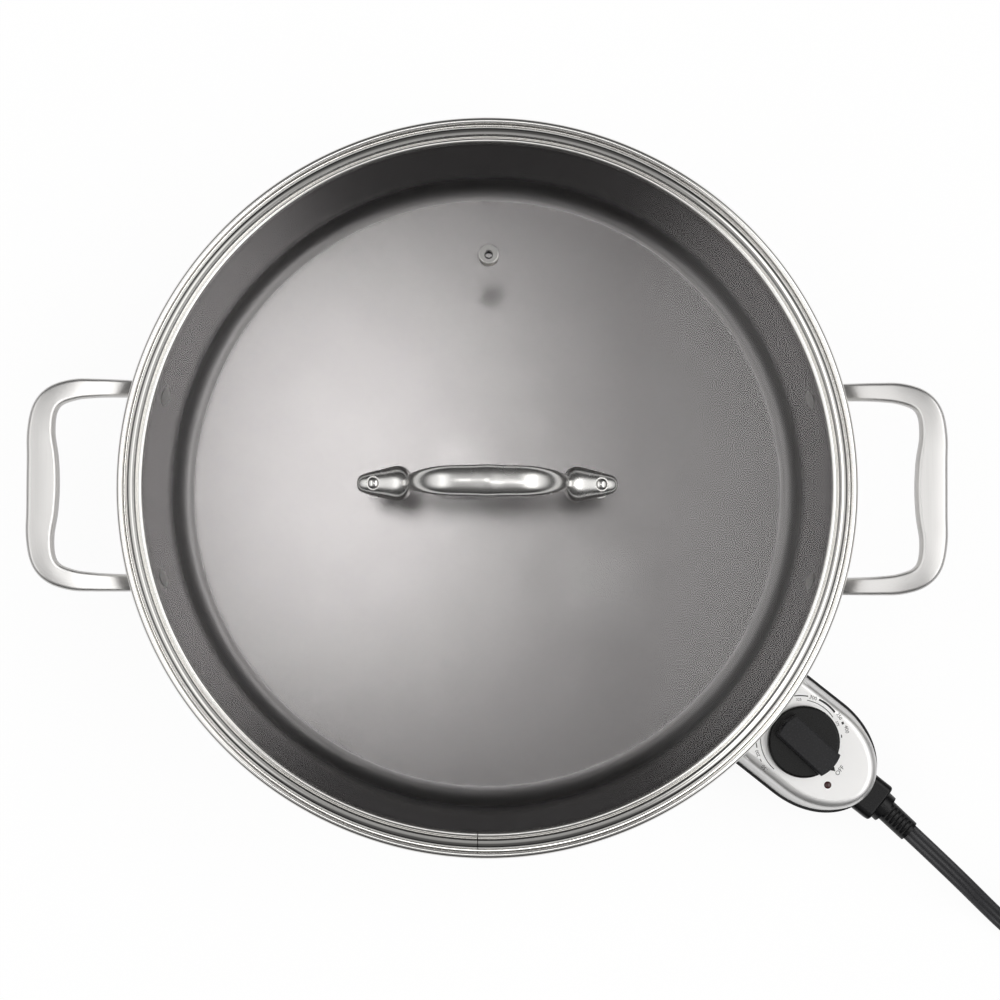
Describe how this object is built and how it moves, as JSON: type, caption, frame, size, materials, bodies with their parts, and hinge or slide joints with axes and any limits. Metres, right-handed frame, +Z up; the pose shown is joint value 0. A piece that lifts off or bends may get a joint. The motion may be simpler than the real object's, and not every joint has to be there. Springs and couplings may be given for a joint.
{
  "type": "electric skillet",
  "caption": "Round electric skillet with riveted steel loop handles, a domed glass lid with a bow handle, and a plug-in heat control with a dial and a coiled cord.",
  "frame": {"origin": "on the pan's axis at table level, under the feet", "axes": "+Z up, +X towards the right-hand side handle, +Y to the back of the pan, away from the heat control's side"},
  "size_m": [0.5939, 0.4309, 0.1812],
  "materials": {
    "polished_steel": "polished",
    "satin_steel": "satin",
    "nonstick": "matte nonstick coating",
    "cast_aluminium": "as cast",
    "element_steel": "dark heat-worn",
    "contact_brass": "plain",
    "white_ceramic": "fired ceramic",
    "black_plastic": "fine texture",
    "silver_cover": "satin silver",
    "zinc_screw": "zinc plated",
    "rubber_black": "matte",
    "silicone_clear": "satin",
    "lid_glass": "clear tempered",
    "lamp_red": "clear dark red",
    "lamp_glass": "neon lamp",
    "cord_jacket": "satin",
    "wire_insulation": "matte",
    "spring_steel": "spring temper"
  },
  "bodies": {
    "skillet": {"pan_shell": "polished_steel", "pan_liner": "nonstick", "sole_plate": "cast_aluminium", "heating_element": "element_steel", "element_terminals": "element_steel", "terminal_beads": "white_ceramic", "socket_shroud": "satin_steel", "base_skirt": "black_plastic", "base_cover": "satin_steel", "base_screws": "zinc_screw", "feet": "rubber_black", "side_handle_left": "satin_steel", "side_handle_right": "satin_steel", "handle_rivets": "nonstick"},
    "lid": {"lid_glass": "lid_glass", "lid_rim_band": "polished_steel", "vent_grommet": "polished_steel", "lid_handle": "polished_steel", "lid_handle_gaskets": "silicone_clear", "lid_handle_rivets": "polished_steel", "lid_washers": "satin_steel"},
    "control": {"control_cover": "silver_cover", "control_base": "black_plastic", "control_screws": "zinc_screw", "control_snout": "black_plastic", "contact_sleeves": "contact_brass", "probe_rod": "satin_steel", "ground_spring": "spring_steel", "thermostat_bracket": "satin_steel", "thermostat_block": "white_ceramic", "fixed_contact_arm": "contact_brass", "moving_contact_arm": "contact_brass", "push_pin": "white_ceramic", "shaft_bush": "contact_brass", "indicator_lens": "lamp_red", "indicator_lamp": "lamp_glass", "lead_wires": "wire_insulation", "cord_clamp": "black_plastic", "strain_relief": "black_plastic", "cord_run": "cord_jacket", "cord_coil": "cord_jacket", "cord_tail": "cord_jacket", "coil_tie": "black_plastic", "plug_body": "rubber_black", "plug_blades": "contact_brass", "ground_pin": "contact_brass"},
    "dial": {"dial_knob": "black_plastic", "dial_shaft": "satin_steel", "dial_clip": "spring_steel"}
  },
  "joints": [
    {"name": "lid_lift", "type": "slide", "parent": "skillet", "child": "lid", "axis": [0, 0, 1], "range_m": [0, 0.2]},
    {"name": "control_pull", "type": "slide", "parent": "skillet", "child": "control", "axis": [0.7875, -0.6163, 0], "range_m": [0, 0.08]},
    {"name": "dial_turn", "type": "hinge", "parent": "control", "child": "dial", "pos_m": [0.15521, -0.12148, 0.05], "axis": [0, 0, -1], "range_deg": [0, 300]}
  ]
}
